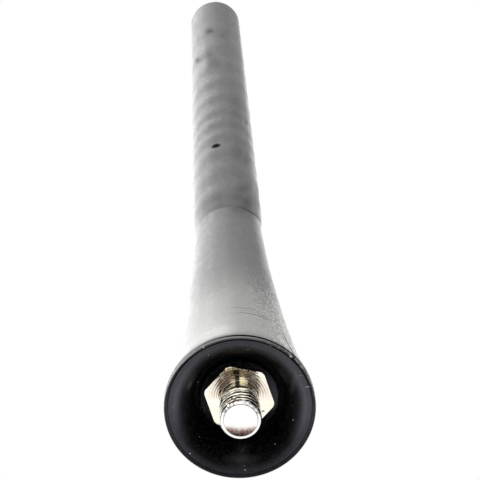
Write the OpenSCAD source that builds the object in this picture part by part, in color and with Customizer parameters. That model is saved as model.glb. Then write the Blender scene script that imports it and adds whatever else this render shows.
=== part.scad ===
// Short rubber mast for a car roof antenna, screwed into the roof base by its stud.
// The origin is on the mast's axis in the front face of the hexagon collar,
// the face that seats on the base. +Z runs up the mast to its tip.

/* [Stud] */
// Thread's outer diameter
stud_d = 5; // [4.8:0.1:5.2]
// Stud's length below the collar's face
stud_l = 6.65; // [6:0.05:8]
// Chamfer at the stud's end
stud_chamfer = 0.4; // [0.3:0.05:0.7]
// Hexagon collar, size across its flats
hex_af = 7.5; // [7:0.1:7.8]
// Turn of the hexagon about the axis, in degrees
hex_turn = 11; // [0:1:59]

/* [Base boot] */
// Diameter over the bead at the open end
rim_d = 17.8; // [17:0.1:19]
// Depth of the collar's face inside the open end
recess = 3.2; // [2.6:0.1:3.6]
// Diameter of the neck, where the cone ends
neck_d = 8.8; // [8.7:0.1:9]
// Height of the cone over the open end
cone_h = 62.8; // [62:0.2:66]
// How hollow the cone's outline is, where 1 is straight
flare = 2.05; // [1.9:0.05:2.2]

/* [Whip jacket] */
// Diameter at the lower end
whip_d = 9.3; // [9.2:0.1:9.6]
// Diameter below the domed tip
tip_d = 7.96; // [7.6:0.02:8.6]
// Height of the dome's foot over the collar's face
whip_top = 160.2; // [159.4:0.2:170]
// Height of the dome
dome_h = 3; // [2:0.1:4]
// Pitch of the wind-noise spiral
rib_pitch = 8.4; // [7:0.1:12]
// Height of the spiral's crest over the plain jacket
rib_h = 0.05; // [0.03:0.01:0.15]

/* [Inner conductor] */
// Diameter of the glass-fibre rod
rod_d = 3; // [2.8:0.1:3]
// Diameter of the antenna wire
wire_d = 0.5; // [0.3:0.05:0.5]
// Pitch of the antenna wire's winding
wire_pitch = 4.5; // [4:0.5:8]
// Diameter of the neck spring's wire
spring_wire_d = 0.9; // [0.7:0.05:0.9]

/* [Hidden] */
$fn = 96;

rim_z = -recess;                 // plane of the open end
cone_z = rim_z + cone_h;         // where the cone ends and the jacket starts
rim_r = rim_d / 2;
neck_r = neck_d / 2;

// collar and its rear end, inside the boot
hex_h = 3;                       // thickness of the hexagon collar
hex_corner_r = hex_af / 2 + 0.47; // its corners are turned down to this radius
boss_z = 0.3;                    // the boot's inner boss stands this far behind the collar's face
boss_r = 4.65;
groove_z = 1.4;                  // floor of the round groove about the boss
flange_z = [3.8, 5];             // round flange that keys the stud into the rubber
flange_r = 3.4;
spigot_r = 2.1;                  // both spigots that the spring is pushed on
spring_r = 2.72;                 // mean radius of the spring
spring_z = [5.5, 30.5];          // centre of its first and last turn
spring_pitch = 1.25;
spring_bore = 3.22;
ferrule_z = [25.5, 31, 33, 45];  // spigot's end, collar, sleeve, sleeve's mouth
ferrule_r = 2.6;
rod_z = [35, 157];
solder_h = 1.2;
joint_z = cone_z + 9.7;          // end of the boot's spigot inside the jacket
joint_r = 3.6;
sleeve_bore = 2.15;
sleeve_r = 2.6;
core_bore = 2.65;
core_top = 158;

// ---- helpers

// tube of radius r swept along the points p, each ring turned to the axis
function unit(v) = v / norm(v);
function way(p, i) = unit(p[min(i + 1, len(p) - 1)] - p[max(i - 1, 0)]);
function outw(v) = unit([v[0], v[1], 0]);
module sweep(p, r, sides) {
    n = len(p);
    pts = [for (i = [0 : n - 1])
        let (t = way(p, i), b = unit(cross(t, outw(p[i]))), u = cross(b, t))
        for (k = [0 : sides - 1])
            p[i] + r * (cos(360 * k / sides) * u + sin(360 * k / sides) * b)];
    faces = concat(
        [[for (k = [0 : sides - 1]) k]],
        [for (i = [0 : n - 2]) for (k = [0 : sides - 1])
            for (f = let (a = i * sides + k, c = i * sides + (k + 1) % sides)
                [[a, a + sides, c + sides], [a, c + sides, c]]) f],
        [[for (k = [sides - 1 : -1 : 0]) (n - 1) * sides + k]]);
    polyhedron(pts, faces, convexity = 10);
}

// points of a helix about Z, right-handed
function helix(r, z0, z1, pitch, steps) =
    let (n = floor((z1 - z0) / pitch * steps))
    [for (i = [0 : n]) [r * cos(360 * i / steps), r * sin(360 * i / steps), z0 + i * pitch / steps]];

// ---- base boot: one moulding, from the bead at its open end to its spigot in the jacket

function cone_r(s) = neck_r - 0.11 + (rim_r - neck_r + 0.11) * pow(1 - s / (cone_h + 12), flare);

module boot_outline() {
    polygon(concat(
        // cup: rolled lip, hollow wall, round groove, boss
        [[flange_r, boss_z], [boss_r - 0.15, boss_z], [boss_r, boss_z + 0.15],
         [boss_r, groove_z - 0.25], [boss_r + 0.2, groove_z], [5.2, groove_z], [5.45, groove_z - 0.25],
         [5.55, 0.4], [5.7, -0.4], [6.0, -1.2], [6.4, -1.7], [6.9, -2.2],
         [7.5, rim_z + 0.6], [8.1, rim_z + 0.25], [8.45, rim_z + 0.06], [8.62, rim_z]],
        // bead with its fine mould line
        [[rim_r - 0.13, rim_z + 0.03], [rim_r - 0.06, rim_z + 0.14], [rim_r, rim_z + 0.55], [rim_r, rim_z + 0.76],
         [rim_r - 0.06, rim_z + 0.8], [rim_r, rim_z + 0.84], [rim_r, rim_z + 1.3]],
        [[rim_r - 0.05, rim_z + 1.8], [rim_r - 0.17, rim_z + 2.6], [rim_r - 0.38, rim_z + 4]],
        // cone and neck
        [for (s = [6, 8, 10, 12.5, 15, 18, 21, 24, 27, 30, 33.5, 37, 41, 45, 49, 53, 57, 60])
            [cone_r(s), rim_z + s]],
        [[neck_r, cone_z], [joint_r, cone_z], [joint_r, joint_z], [0, joint_z], [0, boss_z]]
    ));
}

module base_boot() {
    color([0.17, 0.17, 0.18])
    difference() {
        rotate_extrude() boot_outline();
        translate([0, 0, -1]) intersection() {
            rotate(hex_turn) cylinder(r = hex_af / 2 / cos(30), h = hex_h + 1, $fn = 6);
            cylinder(r = hex_corner_r, h = hex_h + 1);
        }
        translate([0, 0, -1]) cylinder(r = spigot_r + 0.5, h = 20);
        translate([0, 0, flange_z[0]]) cylinder(r = flange_r, h = flange_z[1] - flange_z[0]);
        translate([0, 0, flange_z[1] - 0.1]) cylinder(r = spring_bore, h = ferrule_z[2] - flange_z[1] + 0.1);
        translate([0, 0, ferrule_z[2] - 1]) cylinder(r = core_bore, h = 60);
    }
}

// ---- whip jacket: slim taper with a low spiral, closed by a dome

module whip_jacket() {
    seg = 28;
    step = rib_pitch / 6;
    r0 = whip_d / 2;
    r1 = tip_d / 2;
    z0 = cone_z;
    z1 = whip_top;
    rows = concat(
        [[z0, r0 - 0.1, 0], [z0 + 0.15, r0, 0], [z0 + 1.4, r0 - 0.01, 0]],
        [for (z = [z0 + 2.8 : step : z1 - 4])
            [z, r0 + (r1 - r0) * (z - z0) / (z1 - z0), min(1, (z - z0) / 8, (z1 - z) / 9)]],
        [for (a = [0, 20, 38, 54, 68, 80]) [z1 + dome_h * sin(a), r1 * cos(a), 0]]);
    n = len(rows);
    pts = concat(
        [for (q = rows) for (k = [0 : seg - 1])
            let (a = 360 * k / seg, r = q[1] + rib_h * q[2] * (cos(360 * q[0] / rib_pitch - a)))
            [r * cos(a), r * sin(a), q[0]]],
        [[0, 0, z1 + dome_h]]);
    faces = concat(
        [[for (k = [0 : seg - 1]) k]],
        [for (i = [0 : n - 2]) for (k = [0 : seg - 1])
            for (f = let (a = i * seg + k, c = i * seg + (k + 1) % seg)
                [[a, a + seg, c + seg], [a, c + seg, c]]) f],
        [for (k = [0 : seg - 1]) [(n - 1) * seg + k, n * seg, (n - 1) * seg + (k + 1) % seg]]);
    color([0.2, 0.2, 0.21])
    difference() {
        polyhedron(pts, faces, convexity = 10);
        translate([0, 0, z0 - 1]) cylinder(r = joint_r, h = joint_z - z0 + 1);
        translate([0, 0, joint_z - 1]) cylinder(r = core_bore, h = core_top - joint_z + 1);
    }
}

// ---- threaded stud: turned from hexagon bar, drawn at the thread's outer diameter

module threaded_stud() {
    color([0.8, 0.78, 0.72])
    union() {
        translate([0, 0, -stud_l]) cylinder(r1 = stud_d / 2 - stud_chamfer, r2 = stud_d / 2, h = stud_chamfer);
        translate([0, 0, -stud_l + stud_chamfer]) cylinder(d = stud_d, h = stud_l - stud_chamfer + 0.5);
        intersection() {
            rotate(hex_turn) cylinder(r = hex_af / 2 / cos(30), h = hex_h, $fn = 6);
            union() {
                cylinder(r1 = hex_corner_r - 0.1, r2 = hex_corner_r, h = 0.16);
                translate([0, 0, 0.16]) cylinder(r = hex_corner_r, h = hex_h);
            }
        }
        translate([0, 0, hex_h - 0.1]) cylinder(r = spigot_r + 0.5, h = flange_z[0] - hex_h + 0.2);
        translate([0, 0, flange_z[0]]) cylinder(r = flange_r, h = flange_z[1] - flange_z[0]);
        translate([0, 0, flange_z[1] - 0.1]) cylinder(r = spigot_r, h = 5.1);
        translate([0, 0, flange_z[1] + 5]) cylinder(r1 = spigot_r, r2 = spigot_r - 0.4, h = 0.4);
    }
}

// ---- neck spring: close-coiled, lets the mast bend at its foot

module neck_spring() {
    color([0.6, 0.6, 0.62])
    sweep(helix(spring_r, spring_z[0], spring_z[1], spring_pitch, 9), spring_wire_d / 2, 6);
}

// ---- rod ferrule: carries the rod on the spring's upper end

module rod_ferrule() {
    color([0.78, 0.66, 0.35])
    difference() {
        union() {
            translate([0, 0, ferrule_z[0]]) cylinder(r1 = spigot_r - 0.4, r2 = spigot_r, h = 0.4);
            translate([0, 0, ferrule_z[0] + 0.4]) cylinder(r = spigot_r, h = ferrule_z[1] - ferrule_z[0]);
            translate([0, 0, ferrule_z[1]]) cylinder(r = spring_bore - 0.07, h = ferrule_z[2] - ferrule_z[1]);
            translate([0, 0, ferrule_z[2] - 0.1]) cylinder(r = ferrule_r, h = ferrule_z[3] - ferrule_z[2] + 0.1);
        }
        translate([0, 0, rod_z[0]]) cylinder(d = rod_d, h = ferrule_z[3] - rod_z[0] + 1);
    }
}

// ---- core rod: glass fibre, carries the winding

module core_rod() {
    color([0.86, 0.84, 0.7])
    translate([0, 0, rod_z[0]]) cylinder(d = rod_d, h = rod_z[1] - rod_z[0]);
}

// ---- solder joint between the ferrule and the wire's lower end

module solder_joint() {
    color([0.7, 0.7, 0.72])
    translate([0, 0, ferrule_z[3]])
    rotate_extrude() polygon([[rod_d / 2, 0], [2.45, 0], [2.4, 0.5], [2.15, solder_h], [rod_d / 2, solder_h]]);
}

// ---- antenna wire: wound on the rod in open turns

module antenna_wire() {
    z0 = ferrule_z[3] + solder_h;
    r = 1.87;
    color([0.78, 0.42, 0.22])
    sweep(concat([[r, 0, z0], [r, 0, z0 + 0.6]], helix(r, z0 + 1.1, 154, wire_pitch, 10)), wire_d / 2, 6);
}

// ---- shrink sleeve over the winding

module shrink_sleeve() {
    z0 = ferrule_z[3] + solder_h;
    color([0.12, 0.12, 0.13])
    translate([0, 0, z0])
    difference() {
        cylinder(r = sleeve_r, h = rod_z[1] + 0.6 - z0);
        translate([0, 0, -1]) cylinder(r = sleeve_bore, h = rod_z[1] + 0.6 - z0 + 2);
    }
}

base_boot();
whip_jacket();
threaded_stud();
neck_spring();
rod_ferrule();
core_rod();
solder_joint();
antenna_wire();
shrink_sleeve();
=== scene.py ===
import math
import random

import bpy
import numpy as np
from mathutils import Matrix, Vector
from mathutils.bvhtree import BVHTree


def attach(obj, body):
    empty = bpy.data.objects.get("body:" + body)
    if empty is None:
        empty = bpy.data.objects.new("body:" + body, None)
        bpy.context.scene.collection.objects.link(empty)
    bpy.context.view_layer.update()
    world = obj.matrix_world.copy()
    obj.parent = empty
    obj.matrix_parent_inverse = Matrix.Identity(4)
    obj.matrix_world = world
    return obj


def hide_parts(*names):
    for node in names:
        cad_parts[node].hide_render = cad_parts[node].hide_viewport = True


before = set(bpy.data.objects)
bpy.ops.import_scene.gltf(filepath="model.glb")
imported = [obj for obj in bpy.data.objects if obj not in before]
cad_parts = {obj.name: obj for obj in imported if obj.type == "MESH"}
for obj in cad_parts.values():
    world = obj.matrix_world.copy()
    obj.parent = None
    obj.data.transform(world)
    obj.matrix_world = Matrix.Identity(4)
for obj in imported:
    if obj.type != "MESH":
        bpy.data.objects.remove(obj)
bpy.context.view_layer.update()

random.seed(11)
MM = 0.001

# ------------------------------------------------------------------ sizes, in mm, as in the construction
RECESS = 3.2                 # open end below the collar's face
RIM_Z = -RECESS
RIM_R = 8.9
NECK_R = 4.4
CONE_H = 62.8
CONE_Z = RIM_Z + CONE_H
BOSS_Z, BOSS_R, GROOVE_Z = 0.3, 4.65, 1.4
JOINT_Z, JOINT_R = CONE_Z + 9.7, 3.6
CORE_BORE, CORE_TOP = 2.65, 158.0
WHIP_R0, WHIP_R1, WHIP_TOP, DOME_H = 4.65, 3.98, 160.2, 3.0
RIB_H = 0.024
STUD_R, STUD_L, CHAMFER = 2.47, 6.65, 0.43
PITCH = 0.8
HEX_AF, HEX_TURN, HEX_H, HEX_CORNER = 7.5, 11.0, 3.0, 4.22

# ------------------------------------------------------------------ camera, first
# The mast is seen from below its open end, 22.7 degrees off its axis, in the photograph's 480 x 480 frame.
CAM_POS = Vector((-9.851, -143.713, -345.955)) * MM
CAM_ROT = Matrix(((0.999648, 0.0, -0.026536),
                  (-0.008948, -0.941434, -0.337079),
                  (-0.024982, 0.337198, -0.941102)))
F_PX = 3181.7
cam_data = bpy.data.cameras.new("camera")
cam_data.sensor_width = 36.0
cam_data.sensor_fit = "HORIZONTAL"
cam_data.lens = F_PX / 480.0 * 36.0
cam_data.clip_start = 0.01
cam_data.clip_end = 20.0
camera = bpy.data.objects.new("camera", cam_data)
bpy.context.scene.collection.objects.link(camera)
camera.matrix_world = Matrix.Translation(CAM_POS) @ CAM_ROT.to_4x4()
bpy.context.scene.camera = camera


def pixel_ray(x, y):
    """Direction, in the frame, of the line of sight through a pixel of the photograph."""
    d = Vector(((x - 240.0) / F_PX, (240.0 - y) / F_PX, -1.0))
    return (CAM_ROT @ d).normalized()


# ------------------------------------------------------------------ mesh helpers

def smooth_curve(points, per=6):
    """Catmull-Rom curve through 2-D points."""
    p = [np.array(q, float) for q in points]
    out = []
    for i in range(len(p) - 1):
        a = p[i - 1] if i else 2 * p[0] - p[1]
        b, c = p[i], p[i + 1]
        d = p[i + 2] if i + 2 < len(p) else 2 * p[-1] - p[-2]
        for k in range(per):
            t = k / per
            out.append(0.5 * (2 * b + (c - a) * t + (2 * a - 5 * b + 4 * c - d) * t * t
                              + (3 * b - a - 3 * c + d) * t ** 3))
    out.append(p[-1])
    return out


def make_object(name, verts, faces, sharp=35.0):
    mesh = bpy.data.meshes.new(name)
    mesh.from_pydata([tuple(v) for v in verts], [], faces)
    mesh.validate()
    mesh.update()
    obj = bpy.data.objects.new(name, mesh)
    bpy.context.scene.collection.objects.link(obj)
    mesh.shade_smooth()
    if sharp:
        mesh.set_sharp_from_angle(angle=math.radians(sharp))
    return obj


def lathe(name, rings, phi, closed=False, sharp=35.0):
    """A turned form. rings: (radius or array of radii, height or array of heights), all in mm.
    closed joins the last ring to the first. A first or last ring of radius 0 is a single point."""
    n = len(phi)
    cos, sin = np.cos(phi), np.sin(phi)
    verts, starts, poles = [], [], []
    for r, z in rings:
        r = np.broadcast_to(np.asarray(r, float), (n,))
        z = np.broadcast_to(np.asarray(z, float), (n,))
        starts.append(len(verts))
        if not closed and np.all(r < 1e-6):
            verts.append((0.0, 0.0, float(z[0]) * MM))
            poles.append(True)
        else:
            verts.extend(zip(r * cos * MM, r * sin * MM, z * MM))
            poles.append(False)
    faces = []
    pairs = [(i, i + 1) for i in range(len(rings) - 1)] + ([(len(rings) - 1, 0)] if closed else [])
    for i, j in pairs:
        a, b = starts[i], starts[j]
        for k in range(n):
            m = (k + 1) % n
            if poles[i]:
                faces.append((a, b + m, b + k))
            elif poles[j]:
                faces.append((a + k, a + m, b))
            else:
                faces.append((a + k, a + m, b + m, b + k))
    return make_object(name, verts, faces, sharp)


def angles(n, first=0.0):
    return np.radians(first) + np.arange(n) * 2 * math.pi / n


def hex_radius(phi, af, turn):
    a = (np.degrees(phi) - turn) % 60.0 - 30.0
    return af / 2 / np.cos(np.radians(a))


# ------------------------------------------------------------------ materials

def new_material(name):
    mat = bpy.data.materials.new(name)
    mat.use_nodes = True
    nt = mat.node_tree
    nt.nodes.clear()
    out = nt.nodes.new("ShaderNodeOutputMaterial")
    bsdf = nt.nodes.new("ShaderNodeBsdfPrincipled")
    nt.links.new(bsdf.outputs["BSDF"], out.inputs["Surface"])
    return mat, nt, bsdf


def coords(nt):
    return nt.nodes.new("ShaderNodeTexCoord").outputs["Object"]


def mapping(nt, source, scale=(1, 1, 1), place=(0, 0, 0)):
    m = nt.nodes.new("ShaderNodeMapping")
    m.inputs["Scale"].default_value = scale
    m.inputs["Location"].default_value = place
    nt.links.new(source, m.inputs["Vector"])
    return m.outputs["Vector"]


def noise(nt, source, scale, detail=3.0, rough=0.55):
    n = nt.nodes.new("ShaderNodeTexNoise")
    n.inputs["Scale"].default_value = scale
    n.inputs["Detail"].default_value = detail
    n.inputs["Roughness"].default_value = rough
    nt.links.new(source, n.inputs["Vector"])
    return n.outputs["Fac"]


def math_node(nt, op, a, b=None, c=None, clamp=False):
    m = nt.nodes.new("ShaderNodeMath")
    m.operation = op
    m.use_clamp = clamp
    for i, v in enumerate((a, b, c)):
        if v is None:
            continue
        if isinstance(v, (int, float)):
            m.inputs[i].default_value = v
        else:
            nt.links.new(v, m.inputs[i])
    return m.outputs[0]


def spread(nt, source, lo, hi, to_lo=0.0, to_hi=1.0):
    m = nt.nodes.new("ShaderNodeMapRange")
    m.inputs["From Min"].default_value = lo
    m.inputs["From Max"].default_value = hi
    m.inputs["To Min"].default_value = to_lo
    m.inputs["To Max"].default_value = to_hi
    nt.links.new(source, m.inputs["Value"])
    return m.outputs["Result"]


def mix_colour(nt, fac, a, b):
    m = nt.nodes.new("ShaderNodeMix")
    m.data_type = "RGBA"
    if isinstance(fac, (int, float)):
        m.inputs[0].default_value = fac
    else:
        nt.links.new(fac, m.inputs[0])
    for i, v in ((6, a), (7, b)):
        if isinstance(v, tuple):
            m.inputs[i].default_value = (*v, 1.0) if len(v) == 3 else v
        else:
            nt.links.new(v, m.inputs[i])
    return m.outputs[2]


def bump(nt, height, strength, distance, normal=None):
    b = nt.nodes.new("ShaderNodeBump")
    b.inputs["Strength"].default_value = strength
    b.inputs["Distance"].default_value = distance
    nt.links.new(height, b.inputs["Height"])
    if normal is not None:
        nt.links.new(normal, b.inputs["Normal"])
    return b.outputs["Normal"]


def spot(nt, source, centre, radii, soft=0.35):
    """1 inside an ellipsoid patch about a point (mm), 0 outside."""
    m = nt.nodes.new("ShaderNodeMapping")
    m.vector_type = "POINT"
    s = [1.0 / (r * MM) for r in radii]
    m.inputs["Scale"].default_value = s
    m.inputs["Location"].default_value = [-c * MM * k for c, k in zip(centre, s)]
    nt.links.new(source, m.inputs["Vector"])
    d = nt.nodes.new("ShaderNodeVectorMath")
    d.operation = "LENGTH"
    nt.links.new(m.outputs["Vector"], d.inputs[0])
    return spread(nt, d.outputs["Value"], 1.0, 1.0 - soft, 0.0, 1.0)


def bvh_of(obj):
    mesh = obj.data
    return BVHTree.FromPolygons([v.co.copy() for v in mesh.vertices], [tuple(q.vertices) for q in mesh.polygons])


def sight(tree, x, y):
    """Point and normal where the line of sight through a pixel first meets a piece."""
    place, normal, index, dist = tree.ray_cast(CAM_POS, pixel_ray(x, y))
    return place, normal


def patch(nt, source, tree, x, y, rx, ry, tilt=0.0, soft=0.5, depth=1.2):
    """1 on a small oval of the surface that the photograph shows at a pixel; radii in pixels, tilt in degrees.
    The oval is worked out once and lies on the piece, in its own coordinates."""
    c, n = sight(tree, x, y)
    east, west = sight(tree, x + 0.6, y)[0], sight(tree, x - 0.6, y)[0]
    up, down = sight(tree, x, y - 0.6)[0], sight(tree, x, y + 0.6)[0]
    tx, ty = (east - west) / 1.2, (up - down) / 1.2
    a, b, d = tx.dot(tx), tx.dot(ty), ty.dot(ty)
    det = a * d - b * b
    ux, uy = (d * tx - b * ty) / det, (a * ty - b * tx) / det
    t = math.radians(tilt)
    axes = ((math.cos(t) * ux + math.sin(t) * uy) / rx, (-math.sin(t) * ux + math.cos(t) * uy) / ry, n / (depth * MM))
    off = nt.nodes.new("ShaderNodeVectorMath")
    off.operation = "SUBTRACT"
    nt.links.new(source, off.inputs[0])
    off.inputs[1].default_value = c
    join = nt.nodes.new("ShaderNodeCombineXYZ")
    for i, axis in enumerate(axes):
        dot = nt.nodes.new("ShaderNodeVectorMath")
        dot.operation = "DOT_PRODUCT"
        nt.links.new(off.outputs["Vector"], dot.inputs[0])
        dot.inputs[1].default_value = axis
        nt.links.new(dot.outputs["Value"], join.inputs[i])
    size = nt.nodes.new("ShaderNodeVectorMath")
    size.operation = "LENGTH"
    nt.links.new(join.outputs["Vector"], size.inputs[0])
    return spread(nt, size.outputs["Value"], 1.0, 1.0 - soft)


def ramp(nt, source, stops):
    """Value by linear steps: stops are (input, output) pairs, the input from 0 to 1."""
    r = nt.nodes.new("ShaderNodeValToRGB")
    els = r.color_ramp.elements
    while len(els) < len(stops):
        els.new(0.5)
    for e, (at, v) in zip(els, stops):
        e.position = at
        e.color = (v, v, v, 1.0)
    nt.links.new(source, r.inputs["Fac"])
    return r.outputs["Color"]


def band(nt, value, centre, half, soft):
    """1 where a value is within half of the centre, fading over soft."""
    d = math_node(nt, "ABSOLUTE", math_node(nt, "SUBTRACT", value, centre))
    return spread(nt, d, half + soft, half)


def times(nt, *parts):
    out = parts[0]
    for q in parts[1:]:
        out = math_node(nt, "MULTIPLY", out, q)
    return out


def plus(nt, *parts):
    out = parts[0]
    for q in parts[1:]:
        out = math_node(nt, "ADD", out, q)
    return out


def axis_parts(nt, source):
    """Height, distance from the axis and angle about it, from object coordinates."""
    s = nt.nodes.new("ShaderNodeSeparateXYZ")
    nt.links.new(source, s.inputs[0])
    x, y, z = s.outputs
    r = math_node(nt, "SQRT", math_node(nt, "ADD", math_node(nt, "MULTIPLY", x, x), math_node(nt, "MULTIPLY", y, y)))
    a = math_node(nt, "ARCTAN2", y, x)
    return z, r, a


def rubber(name, base, rough, grain=1.0, extra=None):
    """Moulded black rubber: fine grain, faint drawn streaks along the axis, dusty patches."""
    mat, nt, bsdf = new_material(name)
    co = coords(nt)
    fine = noise(nt, co, 5200.0, 4.0, 0.62)
    mid = noise(nt, co, 1500.0, 3.0, 0.55)
    patch = noise(nt, co, 260.0, 4.0, 0.6)
    streak = noise(nt, mapping(nt, co, (1.0, 1.0, 0.045)), 1900.0, 3.0, 0.6)
    low, high = tuple(c * 0.8 for c in base), tuple(min(1.0, c * 1.3) for c in base)
    tone = math_node(nt, "ADD", math_node(nt, "MULTIPLY", patch, 0.5),
                     math_node(nt, "MULTIPLY", math_node(nt, "ADD", streak, fine), 0.25))
    colour = mix_colour(nt, spread(nt, tone, 0.38, 0.62), low, high)
    if extra:
        colour = extra(nt, co, colour)
    nt.links.new(colour, bsdf.inputs["Base Color"])
    r = spread(nt, math_node(nt, "ADD", math_node(nt, "MULTIPLY", mid, 0.6), math_node(nt, "MULTIPLY", patch, 0.4)),
               0.35, 0.65, rough - 0.06, rough + 0.07)
    nt.links.new(r, bsdf.inputs["Roughness"])
    h = math_node(nt, "ADD", math_node(nt, "MULTIPLY", fine, 0.5),
                  math_node(nt, "ADD", math_node(nt, "MULTIPLY", mid, 0.35), math_node(nt, "MULTIPLY", streak, 0.3)))
    nt.links.new(bump(nt, h, 0.55 * grain, 0.00005), bsdf.inputs["Normal"])
    bsdf.inputs["Specular IOR Level"].default_value = 0.5
    return mat


def metal(name, low, high, rough, scale=900.0, stretch=(1, 1, 1), bump_mm=0.004, turned=0.0):
    mat, nt, bsdf = new_material(name)
    co = coords(nt)
    grain = noise(nt, mapping(nt, co, stretch), scale, 4.0, 0.6)
    blot = noise(nt, co, scale * 0.22, 4.0, 0.6)
    nt.links.new(mix_colour(nt, spread(nt, blot, 0.35, 0.65), low, high), bsdf.inputs["Base Color"])
    nt.links.new(spread(nt, grain, 0.3, 0.7, rough * 0.75, rough * 1.35), bsdf.inputs["Roughness"])
    bsdf.inputs["Metallic"].default_value = 1.0
    nt.links.new(bump(nt, grain, 0.5, bump_mm * MM), bsdf.inputs["Normal"])
    return mat


# ------------------------------------------------------------------ base boot

# outline of the cone: distance from the open end, radius
CONE = [(1.25, 8.9), (1.8, 8.85), (2.6, 8.72), (4.0, 8.5), (5.4, 8.27), (7.0, 8.02), (11.0, 7.55), (16.0, 7.08), (22.0, 6.53),
        (28.0, 6.07), (35.0, 5.62), (43.0, 5.14), (52.0, 4.73), (57.0, 4.53), (60.0, 4.44), (62.0, 4.41), (65.0, NECK_R)]

# the jacket's lower edge follows the spiral for half a turn on the side seen: angle from +X, height
EDGE = [(-134, 55.7), (-125, 55.9), (-110, 55.8), (-90, 56.0), (-75, 56.0), (-60, 56.4), (-52, 56.7), (-43, 57.2), (-32, 58.0), (-14, 59.6), (0, 61.0), (18, 61.4),
        (45, 61.0), (90, 59.5), (135, 57.5), (180, 56.2), (210, 55.8), (226, 55.7)]


def edge_height(a):
    deg = (np.degrees(a) + 134.0) % 360.0 - 134.0
    curve = smooth_curve(EDGE, 12)
    return np.interp(deg, [q[0] for q in curve], [q[1] for q in curve])


# the mould's parting seam runs up the cone on two opposite sides
SEAM = math.radians(-45.5)
fine = np.radians([-1.6, -1.0, -0.62, -0.36, -0.18, 0.0, 0.18, 0.36, 0.62, 1.0, 1.6])
phi = np.concatenate([angles(192, HEX_TURN) % (2 * math.pi), (SEAM + fine) % (2 * math.pi), (SEAM + math.pi + fine) % (2 * math.pi)])
phi = np.sort(phi)
phi = phi[np.append(True, np.diff(phi) > math.radians(0.1))]
SEG = len(phi)


def seam_lift(a):
    d = (a - SEAM + math.pi / 2) % math.pi - math.pi / 2
    return np.exp(-(d / math.radians(0.3)) ** 2) - 0.55 * np.exp(-((d - math.radians(0.75)) / math.radians(0.3)) ** 2)


cup = smooth_curve([(BOSS_R, GROOVE_Z - 0.25), (BOSS_R + 0.12, GROOVE_Z - 0.05), (BOSS_R + 0.3, GROOVE_Z),
                    (5.1, GROOVE_Z), (5.35, GROOVE_Z - 0.1), (5.48, 0.9), (5.62, 0.1), (5.85, -0.65), (6.25, -1.35), (6.75, -1.95),
                    (7.2, -2.42), (7.55, -2.72), (7.85, -2.9), (8.2, -3.03), (8.45, -3.14)], 5)
lip = [(8.52, -3.17), (8.57, -3.185), (8.6, -3.17), (8.625, -3.1), (8.65, -3.06), (8.68, -3.06), (8.7, -3.1), (8.715, -3.17),
       (8.745, -3.2), (8.79, -3.19), (8.83, -3.16), (8.86, -3.11), (8.885, -3.03), (8.9, -2.92), (8.9, -2.6), (8.9, -2.5),
       (8.885, -2.46), (8.82, -2.42), (8.8, -2.37), (8.8, -2.32), (8.82, -2.28), (8.885, -2.23), (8.9, -2.18), (8.9, -2.05)]
line = smooth_curve(CONE, 10)
heights = np.concatenate([np.linspace(1.35, 6, 24), np.linspace(6.4, CONE_H - 6.6, 92)])
cone = [(float(np.interp(h, [q[0] for q in line], [q[1] for q in line])), RIM_Z + h) for h in heights]
edge = edge_height(phi)


def cone_r(h):
    return np.interp(h, [q[0] for q in line], [q[1] for q in line])


pocket = np.minimum(hex_radius(phi, HEX_AF + 0.02, HEX_TURN), HEX_CORNER + 0.012)
rings = [(BOSS_R - 0.02, BOSS_Z + 0.35), (BOSS_R, BOSS_Z + 0.8)] + [tuple(q) for q in cup[:-1]] + lip
lift = seam_lift(phi)
for r, z in cone:
    h = z - RIM_Z
    fade = min(1.0, max(0.0, (h - 1.4) / 1.5)) * min(1.0, max(0.0, (13.0 - h) / 5.0))
    rings.append((r + 0.05 * lift * fade, z))
low = RIM_Z + CONE_H - 6.6
for k in np.linspace(0.12, 1.0, 12):
    z = low + (edge - 0.16 - low) * k
    rings.append((cone_r(z - RIM_Z), z))
sink = 0.03 * (0.5 + 0.5 * np.cos(phi)) ** 4
rings += [(cone_r(edge - RIM_Z) - 0.2 * sink, edge - 0.06), (cone_r(edge - RIM_Z) - sink, edge), (JOINT_R, edge), (JOINT_R, JOINT_Z), (CORE_BORE, JOINT_Z),
          (CORE_BORE, 33.0), (3.22, 33.0), (3.22, 5.0), (3.4, 5.0), (3.4, 3.8), (2.6, 3.8), (2.6, HEX_H),
          (pocket, HEX_H), (pocket, BOSS_Z + 0.1), (pocket + 0.06, BOSS_Z), (BOSS_R - 0.16, BOSS_Z),
          (BOSS_R - 0.07, BOSS_Z + 0.03), (BOSS_R - 0.02, BOSS_Z + 0.12)]
boot = lathe("base_boot_rubber", rings, phi, closed=True, sharp=50.0)

# ------------------------------------------------------------------ whip jacket

WSEG = 160
wphi = angles(WSEG)
# heights, on the side seen, of the spiral's shaded flanks
FLANKS = [43.0, 52.0, 61.0, 70.0, 78.8, 86.2, 92.6, 98.6, 105.4, 113.5, 122.2, 132.0, 143.0, 154.7, 167.2]
turns = smooth_curve([(z, k + 0.5) for k, z in enumerate(FLANKS)], 12)


def turn_phase(z):
    """Turns of the spiral up to a height: its pitch opens towards the tip."""
    return np.interp(z, [q[0] for q in turns], [q[1] for q in turns])


wedge = edge_height(wphi)
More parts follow.
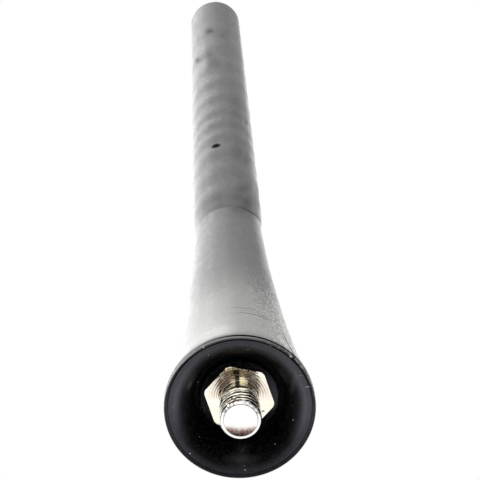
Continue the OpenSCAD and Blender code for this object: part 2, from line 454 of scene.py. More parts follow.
# the edge's bevel is short on the right of the side seen and long on its left
right = 0.5 + 0.5 * np.cos(wphi)
bevel = 0.5 + 0.9 * (1.0 - right)
step = 0.012 + 0.13 * right ** 1.4
edge_r = cone_r(wedge - RIM_Z)
crisp = np.clip((right - 0.45) / 0.4, 0, 1)                        # soft on the left, a clear step on the right
rings = [(JOINT_R, JOINT_Z), (JOINT_R, wedge), (edge_r - 0.022 * right ** 4, wedge), (edge_r + (0.02 + 0.08 * crisp) * step, wedge + 0.04),
         (edge_r + (0.1 + 0.25 * crisp) * step, wedge + 0.2 * bevel), (edge_r + (0.42 + 0.26 * crisp) * step, wedge + 0.5 * bevel),
         (edge_r + (0.8 + 0.1 * crisp) * step, wedge + 0.8 * bevel), (edge_r + step, wedge + bevel + 0.1)]
top = CONE_Z + 6.5
for k in np.linspace(0.0, 1.0, 22)[1:]:
    z = wedge + bevel + 0.1 + (top - wedge - bevel - 0.1) * k
    base = WHIP_R0 + (WHIP_R1 - WHIP_R0) * (z - CONE_Z) / (WHIP_TOP - CONE_Z)
    near = np.clip((z - wedge) / (2.6 + 7.0 * (1.0 - right)), 0, 1)
    near = near * near * (3 - 2 * near)
    amp = RIB_H * np.clip((z - wedge - bevel) / 3.0, 0, 1)
    rings.append(((edge_r + step) * (1 - near) + base * near + amp * np.cos(2 * math.pi * turn_phase(z) - wphi), z))
for z in np.arange(top + 0.4, WHIP_TOP - 0.01, 0.42):
    base = WHIP_R0 + (WHIP_R1 - WHIP_R0) * (z - CONE_Z) / (WHIP_TOP - CONE_Z)
    amp = RIB_H * min(1.0, max(0.0, (WHIP_TOP - 2 - z) / 14.0))
    rings.append((base + amp * np.cos(2 * math.pi * turn_phase(z) - wphi), z))
for a in np.radians(np.linspace(0, 86, 18)):
    rings.append((WHIP_R1 * math.cos(a), WHIP_TOP + DOME_H * math.sin(a)))
rings += [(0.0, WHIP_TOP + DOME_H)]
inside = [(0.0, CORE_TOP), (CORE_BORE, CORE_TOP), (CORE_BORE, JOINT_Z)]
whip = lathe("whip_jacket_rubber", inside + rings, wphi, closed=False, sharp=40.0)

# ------------------------------------------------------------------ threaded stud

TSEG = 240
tphi = angles(TSEG, HEX_TURN)
ROOT_R = STUD_R - 0.46
UNDERCUT_R, UNDERCUT_Z = 2.22, -1.36


def thread_radius(z, a):
    """Sixty-degree thread with a small flat crest and a rounded root; right-handed."""
    u = (z / PITCH - a / (2 * math.pi) + 0.90) % 1.0
    t = np.abs(u - 0.5) * 2.0                 # 1 at the crest's middle, 0 at the root
    t = np.clip((t - 0.14) / (1 - 0.14 - 0.32), 0.0, 1.0)
    t = t * 0.9 + 0.1 * (3 * t * t - 2 * t ** 3)
    return ROOT_R + (STUD_R - ROOT_R) * t


hexr = np.minimum(hex_radius(tphi, HEX_AF, HEX_TURN), HEX_CORNER)
rings = [(0.0, -STUD_L)]
for r in (0.12, 0.3, 0.5, 0.7, 0.9, 1.1, 1.3, 1.5, 1.7, 1.82, 1.92):
    rings.append((r, -STUD_L))
rings += [(1.97, -STUD_L + 0.004), (2.0, -STUD_L + 0.012)]
for z in np.arange(-STUD_L + 0.02, UNDERCUT_Z - 0.16, PITCH / 26):
    t = z + STUD_L
    chamfer = 1.98 + 3.5 * t if t < 0.1 else 2.33 + 0.4 * (t - 0.1)
    cut = min(1.0, max(0.0, (t - 0.22) / 0.25))                    # the thread starts behind the chamfer
    crest = STUD_R - 0.1 * min(1.0, max(0.0, (z + 3.6) / 2.1))     # the last turns are a little lower
    rings.append((np.minimum(thread_radius(z, tphi) * cut + chamfer * (1 - cut), np.minimum(chamfer, crest)), z))
for k in (0.0, 0.2, 0.4, 0.6, 0.8):                                # and end at the undercut
    z = UNDERCUT_Z - 0.16 + 0.16 * k
    rings.append((np.minimum(thread_radius(z, tphi), STUD_R - 0.1) * (1 - k) + UNDERCUT_R * k, z))
rings += [(UNDERCUT_R, UNDERCUT_Z), (UNDERCUT_R, -0.8), (UNDERCUT_R, -0.1), (UNDERCUT_R + 0.01, -0.05), (UNDERCUT_R + 0.02, -0.02), (UNDERCUT_R + 0.05, 0.0)]
for r in (2.5, 2.9, 3.3, 3.6):
    rings.append((r, 0.0))
for k in range(0, 7):
    rings.append((np.minimum(hexr - 0.03 * (1 - k / 6), 4.14 + 0.08 * math.sin(k / 6 * math.pi / 2)), 0.0 + 0.16 * (1 - math.cos(k / 6 * math.pi / 2))))
rings += [(hexr, 0.4), (hexr, 1.5), (hexr, HEX_H - 0.05), (hexr - 0.05, HEX_H), (2.6, HEX_H), (2.6, 3.8), (3.35, 3.8),
          (3.4, 3.85), (3.4, 4.95), (3.35, 5.0), (2.1, 5.0), (2.1, 10.0), (1.7, 10.4), (0.0, 10.4)]
stud = lathe("threaded_stud_nickel", rings, tphi, closed=False, sharp=30.0)

# ------------------------------------------------------------------ materials of the three visible pieces

boot_tree, whip_tree, stud_tree = bvh_of(boot), bvh_of(whip), bvh_of(stud)


def mm(nt, value):
    return math_node(nt, "MULTIPLY", value, 1000.0)


def rubber_base(name, base, grain_scale, bump_mm):
    mat, nt, bsdf = new_material(name)
    co = coords(nt)
    fine = noise(nt, mapping(nt, co, (1.0, 1.0, 0.4)), grain_scale, 2.0, 0.6)
    mid = noise(nt, mapping(nt, co, (1.0, 1.0, 0.5)), 1400.0, 3.0, 0.55)
    patchy = noise(nt, co, 240.0, 4.0, 0.6)
    streak = noise(nt, mapping(nt, co, (1.0, 1.0, 0.012)), 1300.0, 3.0, 0.6)
    tone = plus(nt, times(nt, patchy, 0.25), times(nt, streak, 0.4), times(nt, fine, 0.35))
    low, high = tuple(c * 0.85 for c in base), tuple(min(1.0, c * 1.17) for c in base)
    colour = mix_colour(nt, spread(nt, tone, 0.38, 0.62), low, high)
    return mat, nt, bsdf, co, fine, mid, patchy, streak, colour


def scale_colour(nt, colour, factor):
    m = nt.nodes.new("ShaderNodeVectorMath")
    m.operation = "SCALE"
    nt.links.new(colour, m.inputs[0])
    nt.links.new(factor, m.inputs["Scale"])
    return m.outputs["Vector"]


# ---- boot
mat, nt, bsdf, co, fine, mid, patchy, streak, colour = rubber_base("boot_rubber", (0.022, 0.022, 0.0245), 4300.0, 0.05)
z, r, a = axis_parts(nt, co)
rm, zm = mm(nt, r), mm(nt, z)
inside_cup = times(nt, spread(nt, plus(nt, rm, times(nt, zm, 0.25)), 7.98, 7.86), spread(nt, zm, 3.0, 2.6))
# painted shade and light in the cup: its inside is painted darker with depth and towards its lower side, and the boss
# is painted darker at its top and lighter on its right
depth = ramp(nt, math_node(nt, "DIVIDE", rm, 9.0), [(0.0, 0.24), (4.70 / 9, 0.24), (4.78 / 9, 0.05), (6.3 / 9, 0.05), (6.85 / 9, 0.16),
                                                 (7.15 / 9, 0.46), (7.5 / 9, 0.82), (7.85 / 9, 1.0)])
split = nt.nodes.new("ShaderNodeSeparateXYZ")
nt.links.new(co, split.inputs[0])
depth = times(nt, depth, spread(nt, split.outputs["Y"], 0.0, 0.0075, 1.1, 0.36), spread(nt, split.outputs["Y"], -0.008, -0.003, 0.84, 1.0))
# the cup's wall is lit deeper on its two sides and stays dark at the lower left and lower right
cup_x, flat = split.outputs["X"], spread(nt, rm, 8.0, 7.6)
sides = plus(nt, times(nt, spread(nt, cup_x, -0.0045, -0.0064), spread(nt, rm, 6.9, 7.7, 1.9, 0.8), spread(nt, split.outputs["Y"], -0.0005, 0.0025, 1.0, 0.2)), times(nt, spread(nt, cup_x, 0.0045, 0.0064), 0.75))
depth = times(nt, depth, plus(nt, 1.0, times(nt, sides, flat)))
lobes = math_node(nt, "MAXIMUM", band(nt, a, math.radians(125), math.radians(18), math.radians(22)), band(nt, a, math.radians(52), math.radians(14), math.radians(24)))
depth = times(nt, depth, math_node(nt, "SUBTRACT", 1.0, times(nt, lobes, spread(nt, rm, 7.5, 8.2, 0.75, 0.0))))
boss = spread(nt, rm, 4.9, 4.8)
boss_top = times(nt, boss, spread(nt, plus(nt, split.outputs["Y"], times(nt, cup_x, 0.35)), -0.004, 0.001, 0.93, 0.0))
boss_right = times(nt, boss, band(nt, a, math.radians(-10), math.radians(20), math.radians(20)))
depth = times(nt, depth, math_node(nt, "SUBTRACT", 1.0, boss_top), plus(nt, 1.0, times(nt, boss_right, 1.3)))
cup_shade_factor = plus(nt, times(nt, inside_cup, math_node(nt, "SUBTRACT", depth, 1.0)), 1.0)
colour = scale_colour(nt, colour, cup_shade_factor)
# the skirt of the cone is painted paler, fading upwards; a painted highlight lies on the top of the bead
outer = math_node(nt, "SUBTRACT", 1.0, inside_cup)
run = math_node(nt, "DIVIDE", math_node(nt, "ADD", zm, RECESS), 40.0)
pale_skirt_and_highlight = times(nt, ramp(nt, run, [(0.0, 0.0), (0.85 / 40, 0.0), (1.05 / 40, 0.5), (3.4 / 40, 1.0), (9.0 / 40, 1.0), (15.2 / 40, 0.92), (23.2 / 40, 0.7),
                                 (31.2 / 40, 0.22), (37.0 / 40, 0.0)]), outer)
bead_highlight = times(nt, spread(nt, rm, 8.75, 8.82), band(nt, zm, -2.86, 0.16, 0.12), band(nt, a, math.radians(-94), math.radians(12), math.radians(24)))
pale_skirt_and_highlight = plus(nt, pale_skirt_and_highlight, times(nt, bead_highlight, 0.5))
sandy = noise(nt, mapping(nt, co, (1.0, 1.0, 0.42)), 3300.0, 1.0, 0.5)
sand = times(nt, spread(nt, sandy, 0.42, 0.58, -1.0, 1.0), band(nt, a, math.radians(-41), math.radians(14), math.radians(24)), band(nt, zm, 11.0, 10.0, 13.0), outer)
pale = plus(nt, times(nt, pale_skirt_and_highlight, spread(nt, plus(nt, times(nt, patchy, 0.5), times(nt, fine, 0.5)), 0.35, 0.65, 0.15, 0.21)), times(nt, sand, 0.16))
# painted light: a paler stripe down the front of the cone, at two heights
middle = times(nt, band(nt, a, math.radians(-67), math.radians(10), math.radians(24)), outer)
pale = plus(nt, pale, times(nt, middle, band(nt, zm, 9.0, 6.0, 9.0), 0.05), times(nt, middle, band(nt, zm, 36.0, 8.0, 9.0), 0.016))
colour = mix_colour(nt, math_node(nt, "MAXIMUM", pale, 0.0), colour, (0.66, 0.665, 0.59))

# the seam, its end at the lip, and fine turned arcs on the cone; each arc has a painted highlight on its lip side
turned = math_node(nt, "SUBTRACT", a, SEAM)
seam_top = sight(boot_tree, 281.0, 329.0)[0].z / MM
seam_line = times(nt, band(nt, times(nt, turned, rm), 0.0, 0.06, 0.08), spread(nt, zm, seam_top + 3.0, seam_top - 3.0), outer)
arcs_and_highlights = None
for x, y, half, at_deg, half_deg, v in ((248.0, 308.8, 0.08, -84, 9, 0.55), (251.0, 311.5, 0.06, -78, 7, 0.35), (256.0, 315.2, 0.09, -75, 9, 0.8), (246.0, 314.4, 0.05, -85, 8, 0.25)):
    at, _ = sight(boot_tree, x, y)
    ring = math_node(nt, "SUBTRACT", band(nt, zm, at.z / MM, half, 0.16), times(nt, band(nt, zm, at.z / MM - 0.42, half, 0.2), 0.5))
    ring = times(nt, ring, band(nt, a, math.radians(at_deg), math.radians(half_deg), math.radians(9)), v)
    arcs_and_highlights = ring if arcs_and_highlights is None else plus(nt, arcs_and_highlights, ring)
# painted shade: dark lines in the lip's two grooves, the front one stronger at the top
up = spread(nt, split.outputs["Y"], -0.0088, 0.001, 0.24, 0.0)
rim_groove_shade = times(nt, band(nt, math_node(nt, "SUBTRACT", rm, up), 8.44, 0.05, 0.07), spread(nt, zm, -2.95, -3.03), spread(nt, split.outputs["Y"], -0.006, 0.0, 1.0, 0.55))
rear_groove_shade = times(nt, band(nt, zm, -2.42, 0.2, 0.12), band(nt, a, math.radians(-64), math.radians(24), math.radians(34)), spread(nt, rm, 8.6, 8.7))
# dark holds the seam, the arcs with their painted highlights, and the painted groove shade
dark = math_node(nt, "MINIMUM", plus(nt, times(nt, seam_line, 0.85), arcs_and_highlights, times(nt, rim_groove_shade, 0.9), times(nt, rear_groove_shade, 0.95)), 1.0)
colour = scale_colour(nt, colour, math_node(nt, "SUBTRACT", 1.0, times(nt, dark, 0.95)))

specks = None
for x, y, q, v in ((204.0, 348.0, 0.7, 0.5), (208.5, 355.0, 0.8, 0.45), (173.0, 407.0, 0.7, 0.35), (198.0, 382.0, 0.9, 0.35), (190.0, 453.5, 0.8, 0.9),
                   (245.0, 470.0, 0.9, 0.5), (244.0, 466.0, 0.6, 0.3), (275.0, 444.0, 0.8, 0.45), (293.0, 420.0, 0.8, 0.5), (248.0, 350.0, 0.7, 0.5),
                   (290.8, 356.4, 1.1, 1.0), (200.5, 408.0, 0.6, 0.2), (199.6, 436.8, 0.7, 0.2), (285.0, 406.0, 0.6, 0.2), (292.5, 406.0, 0.6, 0.2),
                   (272.0, 422.5, 0.6, 0.15), (231.0, 347.5, 0.6, 0.25), (270.5, 345.5, 0.7, 0.3), (300.5, 375.5, 0.7, 0.55)):
    p = times(nt, patch(nt, co, boot_tree, x, y, q, q * 0.8, 0.0, 0.7), v)
    specks = p if specks is None else plus(nt, specks, p)
# pale scuffs, a scratch and haze in the cup, with painted highlights on the right of its wall and near its bottom
scuffs_and_highlights = plus(nt, times(nt, patch(nt, co, boot_tree, 189.6, 385.5, 1.8, 6.0, -24.0, 0.9), 0.09),
             times(nt, patch(nt, co, boot_tree, 191.0, 381.0, 6.0, 13.0, -22.0, 1.0), 0.04),
             times(nt, patch(nt, co, boot_tree, 282.5, 376.0, 4.5, 12.0, 35.0, 1.0), 0.035),
             times(nt, patch(nt, co, boot_tree, 241.5, 451.0, 9.0, 15.0, 0.0, 1.0), 0.022),
             times(nt, patch(nt, co, boot_tree, 307.6, 386.9, 3.4, 0.55, 4.0, 0.6), 0.45),
             times(nt, patch(nt, co, boot_tree, 293.5, 384.0, 4.5, 12.0, -12.0, 0.95), 0.05),
             times(nt, patch(nt, co, boot_tree, 241.0, 459.0, 22.0, 6.0, 0.0, 0.95), 0.035),
             times(nt, patch(nt, co, boot_tree, 243.0, 449.0, 1.4, 4.5, -24.0, 0.9), 0.03),
             times(nt, inside_cup, spread(nt, fine, 0.42, 0.7), 0.014))
# soft shade under the jacket's edge and along the right of the cone
shade = None
for x, y, rx, ry, tilt, v in ((236.5, 208.5, 10.0, 7.0, 0.0, 0.62), (244.5, 210.5, 8.0, 8.0, -20.0, 0.85), (250.5, 214.0, 7.0, 8.0, -35.0, 0.85), (256.0, 219.0, 7.0, 9.0, -40.0, 0.8),
                              (260.0, 225.0, 5.0, 10.0, -20.0, 0.5)):
    p = times(nt, patch(nt, co, boot_tree, x, y, rx, ry, tilt, 1.0), v)
    shade = p if shade is None else math_node(nt, "MAXIMUM", shade, p)
shade = math_node(nt, "MINIMUM", shade, 0.5)
y_290, y_250 = sight(boot_tree, 270.0, 290.0)[0], sight(boot_tree, 262.0, 250.0)[0]
shade = math_node(nt, "MAXIMUM", shade, times(nt, band(nt, a, math.atan2(y_290.y, y_290.x), math.radians(5), math.radians(26)),
                                              band(nt, zm, 0.5 * (y_290.z + y_250.z) / MM, 0.5 * (y_250.z - y_290.z) / MM, 14.0), 0.5))
shade = math_node(nt, "MAXIMUM", shade, times(nt, band(nt, a, math.radians(-121), math.radians(8), math.radians(26)), band(nt, zm, y_290.z / MM, 4.0, 12.0), 0.3))
colour = mix_colour(nt, shade, colour, (0.003, 0.003, 0.003))
# painted reflection: a brown band on the upper part of the cup's wall
brown = times(nt, patch(nt, co, boot_tree, 238.0, 352.0, 13.0, 2.2, 0.0, 0.8), 0.8)
colour = mix_colour(nt, brown, colour, (0.028, 0.017, 0.011))
colour = mix_colour(nt, scuffs_and_highlights, colour, (0.5, 0.5, 0.5))
colour = mix_colour(nt, specks, colour, (0.72, 0.72, 0.74))
nt.links.new(colour, bsdf.inputs["Base Color"])
nt.links.new(plus(nt, spread(nt, plus(nt, times(nt, mid, 0.6), times(nt, patchy, 0.4)), 0.35, 0.65, 0.33, 0.4), times(nt, inside_cup, 0.1)),
             bsdf.inputs["Roughness"])
nt.links.new(times(nt, cup_shade_factor, math_node(nt, "SUBTRACT", 1.0, shade), math_node(nt, "SUBTRACT", plus(nt, 0.42, times(nt, pale_skirt_and_highlight, 0.25)), times(nt, dark, 0.6), clamp=True)), bsdf.inputs["Specular IOR Level"])
grain_zone = times(nt, band(nt, a, math.radians(-38), math.radians(22), math.radians(30)), band(nt, zm, 10.0, 14.0, 16.0))
h = plus(nt, times(nt, fine, 0.5), times(nt, mid, 0.3), times(nt, streak, 0.35), times(nt, fine, times(nt, grain_zone, 2.2)))
h = plus(nt, h, times(nt, sand, 1.6), times(nt, dark, -0.8))
nt.links.new(bump(nt, h, 0.5, 0.00004), bsdf.inputs["Normal"])
nt.links.new(mix_colour(nt, inside_cup, (1.0, 1.0, 1.0), (0.94, 0.93, 1.2)), bsdf.inputs["Specular Tint"])
boot.data.materials.append(mat)

# ---- whip jacket
mat, nt, bsdf, co, fine, mid, patchy, streak, colour = rubber_base("whip_rubber", (0.020, 0.020, 0.0225), 3600.0, 0.03)
# dark smudges near the tip, and painted shade above the jacket's lower edge and down its middle
smudges_and_shade = None
for x, y, rx, ry, tilt, soft, v in ((209.6, 31.0, 5.6, 4.0, 10.0, 1.0, 0.42), (223.0, 35.5, 7.0, 5.0, 0.0, 1.0, 0.16), (209.5, 55.0, 5.0, 6.0, 0.0, 1.0, 0.26),
                                   (197.2, 60.3, 3.6, 4.0, 0.0, 1.0, 0.4), (216.0, 145.8, 5.8, 2.5, 16.0, 0.5, 1.0), (246.0, 123.0, 1.6, 2.6, 0.0, 1.0, 0.3),
                                   (240.0, 197.0, 13.0, 7.0, 0.0, 1.0, 0.2), (246.0, 160.0, 6.0, 11.0, 0.0, 1.0, 0.2),
                                   (247.0, 202.0, 10.0, 11.0, 0.0, 1.0, 0.36), (250.0, 212.0, 5.0, 2.5, -28.0, 1.0, 0.4), (237.0, 110.0, 8.0, 26.0, 4.0, 1.0, 0.14),
                                   (257.5, 197.0, 5.0, 16.0, 4.0, 1.0, 0.24), (213.0, 61.0, 9.0, 9.0, 0.0, 1.0, 0.3), (239.0, 150.0, 10.0, 12.0, 0.0, 1.0, 0.2), (245.5, 188.0, 12.0, 9.0, 0.0, 1.0, 0.3)):
    p = times(nt, patch(nt, co, whip_tree, x, y, rx, ry, tilt, soft), v)
    smudges_and_shade = p if smudges_and_shade is None else math_node(nt, "MAXIMUM", smudges_and_shade, p)
colour = mix_colour(nt, smudges_and_shade, colour, (0.003, 0.003, 0.003))
nt.links.new(colour, bsdf.inputs["Base Color"])
nt.links.new(plus(nt, spread(nt, plus(nt, times(nt, mid, 0.6), times(nt, patchy, 0.4)), 0.35, 0.65, 0.33, 0.4), times(nt, smudges_and_shade, 0.35)),
             bsdf.inputs["Roughness"])
nt.links.new(math_node(nt, "SUBTRACT", 0.40, times(nt, smudges_and_shade, 0.39)), bsdf.inputs["Specular IOR Level"])
h = plus(nt, times(nt, fine, 0.25), times(nt, mid, 0.2), times(nt, streak, 0.3))
nt.links.new(bump(nt, h, 0.35, 0.00004), bsdf.inputs["Normal"])
whip.data.materials.append(mat)

# ---- nickel-plated stud
mat, nt, bsdf = new_material("nickel_plate")
co = coords(nt)
z, r, a = axis_parts(nt, co)
rm, zm = mm(nt, r), mm(nt, z)
fine = noise(nt, co, 2600.0, 4.0, 0.65)
blot = noise(nt, co, 620.0, 3.0, 0.6)
colour = mix_colour(nt, spread(nt, blot, 0.35, 0.65), (0.88, 0.84, 0.71), (0.96, 0.94, 0.83))
colour = mix_colour(nt, spread(nt, zm, -STUD_L + 0.52, -STUD_L + 0.44), colour, (0.97, 0.955, 0.94))
split = nt.nodes.new("ShaderNodeSeparateXYZ")
nt.links.new(co, split.inputs[0])
xm, ym = mm(nt, split.outputs["X"]), mm(nt, split.outputs["Y"])
turn = math_node(nt, "MULTIPLY", math_node(nt, "ADD", a, math.pi / 2), 180.0 / math.pi)     # degrees from the side seen, to its right
aside = math_node(nt, "ABSOLUTE", turn)

# painted shade: the roots of the thread are painted dark, thin at the front and deep on both flanks, and the lit zones
# keep the crests bright
shaft = times(nt, spread(nt, zm, UNDERCUT_Z + 0.06, UNDERCUT_Z - 0.04), spread(nt, zm, -STUD_L + 0.08, -STUD_L + 0.16), spread(nt, rm, STUD_R + 0.02, STUD_R + 0.01))
from_left = math_node(nt, "ABSOLUTE", math_node(nt, "ADD", turn, 18.0))
thread_lit_zone = plus(nt, spread(nt, from_left, 22.0, 48.0, 0.11, 0.0), times(nt, band(nt, turn, 9.0, 3.0, 6.0), 0.05), spread(nt, aside, 66.0, 80.0, 0.0, 0.04),
             spread(nt, blot, 0.34, 0.66, -0.06, 0.07))
lower = spread(nt, zm, -3.6, -1.5, 0.0, 0.1)
brim = math_node(nt, "MINIMUM", plus(nt, times(nt, math_node(nt, "ADD", zm, STUD_L - 0.1), 0.4), 2.33), math_node(nt, "SUBTRACT", STUD_R, lower))
sunk = math_node(nt, "SUBTRACT", math_node(nt, "SUBTRACT", brim, rm), thread_lit_zone)
first_line = times(nt, band(nt, zm, -1.92, 0.07, 0.07), band(nt, turn, -2.0, 34.0, 14.0))
thread_root_shade = times(nt, math_node(nt, "MAXIMUM", math_node(nt, "MULTIPLY", sunk, 30.0, clamp=True), first_line), shaft,
                  math_node(nt, "MAXIMUM", spread(nt, zm, -STUD_L + 0.3, -STUD_L + 0.45), spread(nt, aside, 105.0, 85.0)))
# painted dark reflection: brown on both flanks of the thread
flank_dark_reflection = times(nt, shaft, band(nt, aside, 46.0, 14.0, 14.0), spread(nt, blot, 0.42, 0.62, 0.15, 0.75))
colour = mix_colour(nt, flank_dark_reflection, colour, (0.07, 0.045, 0.03))
colour = mix_colour(nt, times(nt, thread_root_shade, 0.98), colour, (0.010, 0.007, 0.005))

# the undercut above the thread: painted reflection, gold and deeper on its left, with a dark stretch left of the middle
# and dark flanks
undercut = times(nt, spread(nt, zm, UNDERCUT_Z - 0.04, UNDERCUT_Z + 0.04), spread(nt, math_node(nt, "SUBTRACT", rm, times(nt, zm, 0.3)), 2.72, 2.70), spread(nt, math_node(nt, "ADD", rm, times(nt, zm, 2.0)), 2.29, 2.27))
gold_reflection = mix_colour(nt, spread(nt, turn, -12.0, 0.0), (0.36, 0.27, 0.12), (0.70, 0.60, 0.34))
colour = mix_colour(nt, times(nt, undercut, spread(nt, fine, 0.35, 0.65, 0.55, 1.0)), colour, gold_reflection)
neck_lines = plus(nt, times(nt, band(nt, zm, -0.62, 0.06, 0.08), 0.55), times(nt, band(nt, zm, -1.12, 0.05, 0.07), 0.6))
flank = math_node(nt, "MAXIMUM", times(nt, band(nt, turn, 45.0, 17.0, 3.0), spread(nt, fine, 0.4, 0.6, 1.0, 0.75)), times(nt, band(nt, turn, -46.0, 14.0, 5.0), spread(nt, fine, 0.4, 0.6, 1.0, 0.6)))
undercut_dark_reflection = times(nt, math_node(nt, "MAXIMUM", flank, neck_lines), undercut)
column = times(nt, band(nt, turn, -6.5, 5.0, 3.5), spread(nt, zm, -2.0, -1.8), spread(nt, math_node(nt, "ADD", rm, times(nt, zm, 2.0)), 2.29, 2.27))
undercut_dark_reflection = math_node(nt, "MAXIMUM", undercut_dark_reflection, column)
colour = mix_colour(nt, undercut_dark_reflection, colour, (0.010, 0.006, 0.004))

# end face: reddish brown, darker along its lower edge
end_face = spread(nt, zm, -STUD_L + 0.02, -STUD_L + 0.01)
far = math_node(nt, "SQRT", plus(nt, math_node(nt, "POWER", math_node(nt, "ABSOLUTE", math_node(nt, "SUBTRACT", xm, 0.08)), 2.0),
                                 math_node(nt, "POWER", math_node(nt, "ABSOLUTE", math_node(nt, "ADD", ym, 4.0)), 2.0)))
tooth = noise(nt, mapping(nt, co, (1.0, 0.35, 1.0)), 8600.0, 2.0, 0.65)
edge_fade = math_node(nt, "ADD", spread(nt, far, 4.88, 5.42), spread(nt, tooth, 0.3, 0.7, -0.26, 0.26), clamp=True)
low_edge = times(nt, end_face, edge_fade, spread(nt, far, 4.85, 5.1))
lower_tint = times(nt, end_face, spread(nt, far, 4.25, 5.1), spread(nt, tooth, 0.3, 0.7, 0.2, 0.62), spread(nt, math_node(nt, "ABSOLUTE", xm), 1.1, 1.8, 1.0, 0.45))
colour = mix_colour(nt, lower_tint, colour, (0.2, 0.13, 0.09))
colour = mix_colour(nt, times(nt, low_edge, 0.97), colour, mix_colour(nt, spread(nt, far, 5.35, 5.7), (0.17, 0.085, 0.065), (0.02, 0.008, 0.006)))

ring_line = times(nt, band(nt, rm, 2.0, 0.03, 0.05), spread(nt, zm, -STUD_L + 0.1, -STUD_L + 0.06), spread(nt, ym, 1.2, -0.6, 0.1, 0.85))
colour = mix_colour(nt, ring_line, colour, (0.11, 0.075, 0.05))

# on the side seen the chamfer carries painted dark reflection in patches
brim_dark_reflection = times(nt, band(nt, rm, 2.23, 0.17, 0.04), spread(nt, zm, -STUD_L + 0.3, -STUD_L + 0.2), spread(nt, aside, 88.0, 60.0), spread(nt, fine, 0.4, 0.6, 0.05, 0.95),
                  math_node(nt, "SUBTRACT", 1.0, times(nt, band(nt, turn, -2.0, 9.0, 9.0), 0.7)))
colour = mix_colour(nt, brim_dark_reflection, colour, (0.06, 0.048, 0.045))

# collar face: turned arcs, painted with a reflection of the stud: dark arcs on both sides, faint brown arcs, and above
# the stud a gold patch darkened between the arcs
face = times(nt, band(nt, zm, 0.0, 0.02, 0.02), spread(nt, rm, 2.24, 2.27))
colour = mix_colour(nt, times(nt, face, 0.9), colour, mix_colour(nt, spread(nt, blot, 0.35, 0.65), (0.83, 0.765, 0.64), (0.92, 0.88, 0.78)))
edge_near = math_node(nt, "MAXIMUM", times(nt, rm, math_node(nt, "COSINE", math_node(nt, "ADD", a, math.radians(79.0)))),
                      times(nt, rm, math_node(nt, "COSINE", math_node(nt, "ADD", a, math.radians(139.0)))))
inward = spread(nt, edge_near, 3.70, 3.60, 0.2, 1.0)
tooled = math_node(nt, "SINE", math_node(nt, "MULTIPLY", plus(nt, rm, spread(nt, turn, -20.0, 20.0, -0.075, 0.075), spread(nt, blot, 0.3, 0.7, -0.03, 0.03)), 2 * math.pi / 0.30))
bright_arc = spread(nt, tooled, 0.2, 0.7)
left_arcs = times(nt, band(nt, turn, -43.0, 12.0, 12.0), spread(nt, rm, 3.75, 2.95), spread(nt, bright_arc, 0.0, 1.0, 1.0, 0.1))
right_arcs = times(nt, band(nt, turn, 40.0, 12.0, 12.0), spread(nt, rm, 3.45, 2.7), spread(nt, bright_arc, 0.0, 1.0, 1.0, 0.2))
side_arc_reflection = times(nt, face, inward, math_node(nt, "MAXIMUM", left_arcs, right_arcs))
faint = times(nt, band(nt, aside, 56.0, 14.0, 30.0), spread(nt, rm, 4.0, 3.0), spread(nt, bright_arc, 0.0, 1.0, 0.7, 0.06))
top = times(nt, face, inward, band(nt, turn, -3.0, 25.0, 8.0), spread(nt, rm, 2.8, 2.95))
colour = mix_colour(nt, times(nt, top, 0.95), colour, mix_colour(nt, spread(nt, fine, 0.4, 0.6), (0.20, 0.14, 0.07), (0.80, 0.67, 0.44)))
blotch = times(nt, band(nt, turn, -7.0, 4.0, 5.0), band(nt, rm, 3.35, 0.22, 0.16))
collar_dark_reflection = times(nt, top, math_node(nt, "MINIMUM", plus(nt, spread(nt, tooled, -0.2, -0.8, 0.0, 0.6), spread(nt, fine, 0.52, 0.64, 0.0, 0.8), times(nt, blotch, 1.2)), 1.0), 0.99)
colour = mix_colour(nt, collar_dark_reflection, colour, (0.012, 0.008, 0.005))
colour = mix_colour(nt, side_arc_reflection, colour, (0.008, 0.005, 0.004))
colour = mix_colour(nt, times(nt, face, faint), colour, (0.24, 0.15, 0.10))
for x, y, rx, ry, tilt, v, tone in ((236.2, 400.9, 3.9, 1.3, 6.0, 0.85, (0.20, 0.115, 0.03)), (229.6, 402.9, 1.7, 1.2, 20.0, 0.75, (0.28, 0.13, 0.08)),
                                    (238.0, 396.9, 4.6, 0.9, 3.0, 0.96, (0.012, 0.005, 0.004)), (231.8, 398.8, 1.3, 1.2, 20.0, 0.9, (0.05, 0.012, 0.008))):
    colour = mix_colour(nt, times(nt, patch(nt, co, stud_tree, x, y, rx, ry, tilt, 0.5), shaft, v), colour, tone)
nick = patch(nt, co, stud_tree, 263.2, 411.1, 1.9, 1.0, -8.0, 0.5)
colour = mix_colour(nt, nick, colour, (0.06, 0.045, 0.03))
nt.links.new(colour, bsdf.inputs["Base Color"])
rough = plus(nt, spread(nt, fine, 0.3, 0.7, 0.035, 0.075), times(nt, end_face, 0.12), times(nt, thread_root_shade, 0.2), times(nt, top, 0.08), times(nt, face, spread(nt, aside, 55.0, 75.0, 0.0, 0.1)))
nt.links.new(rough, bsdf.inputs["Roughness"])
# the painted shade and dark reflections are not metallic
painted_dark = math_node(nt, "MAXIMUM", math_node(nt, "MAXIMUM", thread_root_shade, undercut_dark_reflection), math_node(nt, "MAXIMUM", collar_dark_reflection, side_arc_reflection))
nt.links.new(math_node(nt, "SUBTRACT", 1.0, painted_dark), bsdf.inputs["Metallic"])
bsdf.inputs["Specular IOR Level"].default_value = 0.02
face_grain = noise(nt, co, 4200.0, 3.0, 0.6)
h = plus(nt, times(nt, fine, 0.3), times(nt, times(nt, face_grain, end_face), 1.2), times(nt, tooled, times(nt, face, 0.9)))
nt.links.new(bump(nt, h, 0.35, 0.000005), bsdf.inputs["Normal"])
mat_nickel = mat
stud.data.materials.append(mat_nickel)

# ------------------------------------------------------------------ inner pieces keep their CAD form

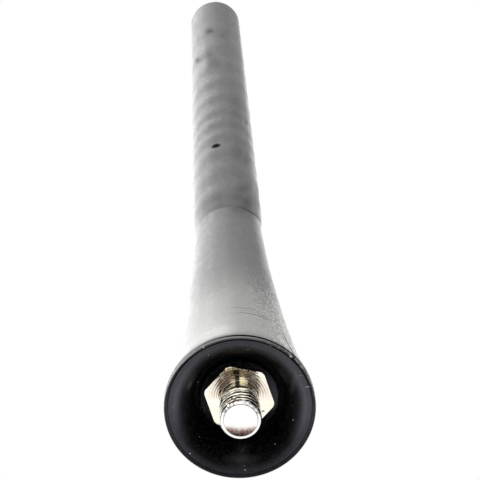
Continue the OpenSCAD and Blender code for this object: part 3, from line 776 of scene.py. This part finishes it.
inner = {
    "neck_spring": metal("spring_steel", (0.30, 0.30, 0.31), (0.46, 0.46, 0.47), 0.3, 1500.0),
    "rod_ferrule": metal("ferrule_brass", (0.55, 0.38, 0.14), (0.72, 0.54, 0.24), 0.24, 1200.0, (1, 1, 12)),
    "solder_joint": metal("solder", (0.42, 0.42, 0.43), (0.60, 0.60, 0.61), 0.35, 2200.0),
    "antenna_wire": metal("copper_wire", (0.60, 0.26, 0.13), (0.76, 0.38, 0.21), 0.25, 1800.0),
}
mat, nt, bsdf = new_material("glass_fibre")
co = coords(nt)
fibre = noise(nt, mapping(nt, co, (1, 1, 0.03)), 4200.0, 3.0, 0.6)
nt.links.new(mix_colour(nt, spread(nt, fibre, 0.35, 0.65), (0.60, 0.55, 0.36), (0.78, 0.74, 0.58)), bsdf.inputs["Base Color"])
nt.links.new(spread(nt, fibre, 0.3, 0.7, 0.35, 0.5), bsdf.inputs["Roughness"])
nt.links.new(bump(nt, fibre, 0.4, 0.00003), bsdf.inputs["Normal"])
inner["core_rod"] = mat
inner["shrink_sleeve"] = rubber("shrink_tube", (0.03, 0.03, 0.032), 0.38, grain=0.5)
for node, mat in inner.items():
    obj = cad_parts[node]
    obj.data.materials.clear()
    obj.data.materials.append(mat)
    for p in obj.data.polygons:
        p.material_index = 0

# ------------------------------------------------------------------ stage and light

FLOOR_Z = -0.62
bpy.ops.mesh.primitive_grid_add(x_subdivisions=24, y_subdivisions=24, size=8.0, location=(0, 0, FLOOR_Z))
floor = bpy.context.object
floor.name = "floor"
mat, nt, bsdf = new_material("pale_floor")
f = noise(nt, coords(nt), 6.0, 3.0, 0.5)
nt.links.new(mix_colour(nt, f, (0.80, 0.80, 0.80), (0.84, 0.84, 0.84)), bsdf.inputs["Base Color"])
bsdf.inputs["Roughness"].default_value = 0.7
floor.data.materials.append(mat)

world = bpy.data.worlds.new("studio")
bpy.context.scene.world = world
world.use_nodes = True
world.node_tree.nodes["Background"].inputs["Color"].default_value = (1.0, 1.0, 1.0, 1.0)
world.node_tree.nodes["Background"].inputs["Strength"].default_value = 1.0


def area_light(name, place, target, size, power, colour=(1, 1, 1), size_y=None):
    light = bpy.data.lights.new(name, "AREA")
    light.energy = power
    light.color = colour
    light.size = size
    if size_y:
        light.shape = "RECTANGLE"
        light.size_y = size_y
    obj = bpy.data.objects.new(name, light)
    bpy.context.scene.collection.objects.link(obj)
    place, target = Vector(place), Vector(target)
    obj.location = place
    obj.rotation_euler = (target - place).to_track_quat("-Z", "Y").to_euler()
    return obj


area_light("crown_softbox", (-0.191, 0.0, 1.163), (0, 0, 0.08), 0.354, 0.95)
area_light("rear_softbox_left", (-0.224, 0.388, 1.085), (0, 0, 0.08), 0.354, 0.92)
area_light("rear_softbox_right", (0.224, 0.388, 1.085), (0, 0, 0.08), 0.354, 0.86)
area_light("left_softbox_high", (-0.388, 0.224, 1.085), (0, 0, 0.08), 0.354, 0.28)
area_light("left_softbox_mid", (-0.778, 0.0, 0.858), (0, 0, 0.08), 0.354, 2.49)
area_light("left_softbox_low", (-0.895, -0.517, 0.456), (0, 0, 0.08), 0.354, 9.5, (1.0, 1.0, 0.98))
area_light("front_softbox_high", (0.0, -0.447, 1.085), (0, 0, 0.08), 0.354, 0.2)
area_light("right_softbox", (0.674, 0.389, 0.858), (0, 0, 0.08), 0.354, 0.64)
area_light("low_softbox", (0.0, 0.46, 0.12), (0, 0, 0), 0.4, 1.1)

bpy.context.scene.view_settings.view_transform = "Standard"
bpy.context.scene.view_settings.look = "None"
bpy.context.scene.view_settings.exposure = 0.0
bpy.context.scene.view_settings.gamma = 1.0

# ------------------------------------------------------------------ attach the pieces and hide their CAD parts

for piece, node, slot in ((boot, "base_boot", "boot_rubber"), (whip, "whip_jacket", "whip_rubber"), (stud, "threaded_stud", "nickel")):
    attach(piece, "root")
    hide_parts(node)
